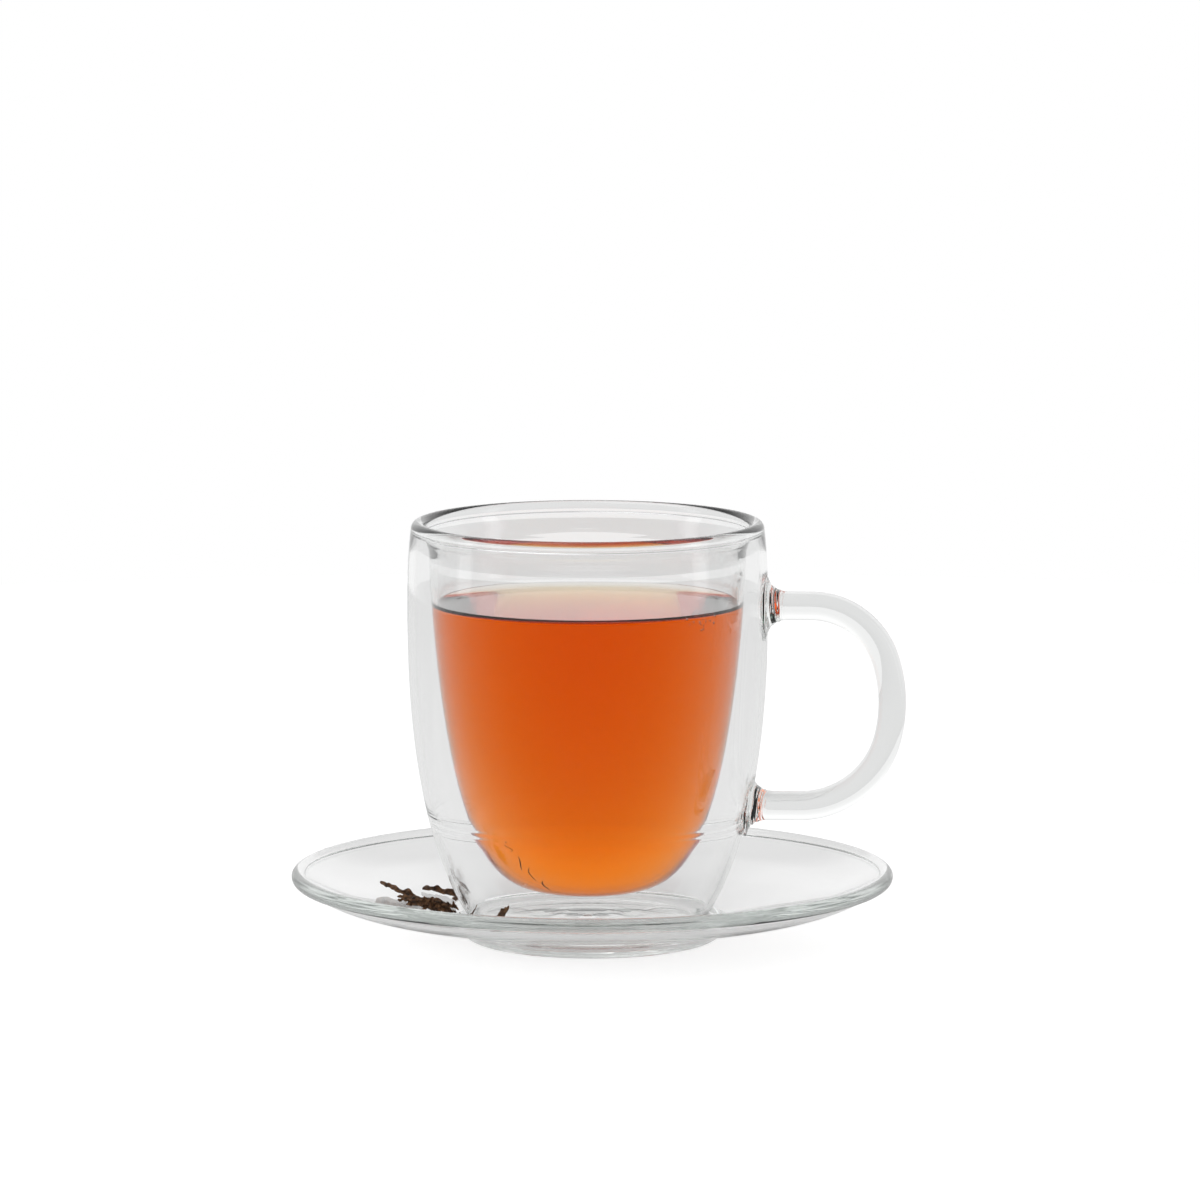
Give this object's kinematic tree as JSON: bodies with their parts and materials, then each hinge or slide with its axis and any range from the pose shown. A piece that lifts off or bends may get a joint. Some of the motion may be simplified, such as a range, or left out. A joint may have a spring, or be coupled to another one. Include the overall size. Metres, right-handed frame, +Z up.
{
  "type": "double-walled teacup and saucer",
  "caption": "Double-walled clear glass teacup with a bent rod handle, filled with black tea, standing in the well of a glass saucer with dry tea leaves scattered beside it.",
  "frame": {"origin": "centre of the ring that the saucer stands on, on the table plane", "axes": "+Z up along the saucer's axis, +X towards the cup's handle, +Y away to the left of the handle"},
  "size_m": [0.1428, 0.14, 0.098],
  "materials": {
    "clear_glass": "clear polished borosilicate glass",
    "tea": "clear amber-red liquid",
    "dry_leaf": "matt dry rolled leaf"
  },
  "bodies": {
    "root": {"saucer": "clear_glass", "cup": "clear_glass", "tea": "tea", "leaf_heap": "dry_leaf", "leaf_left": "dry_leaf", "leaf_back": "dry_leaf", "leaf_twig": "dry_leaf", "leaf_crumb": "dry_leaf", "leaf_front": "dry_leaf"}
  },
  "joints": []
}
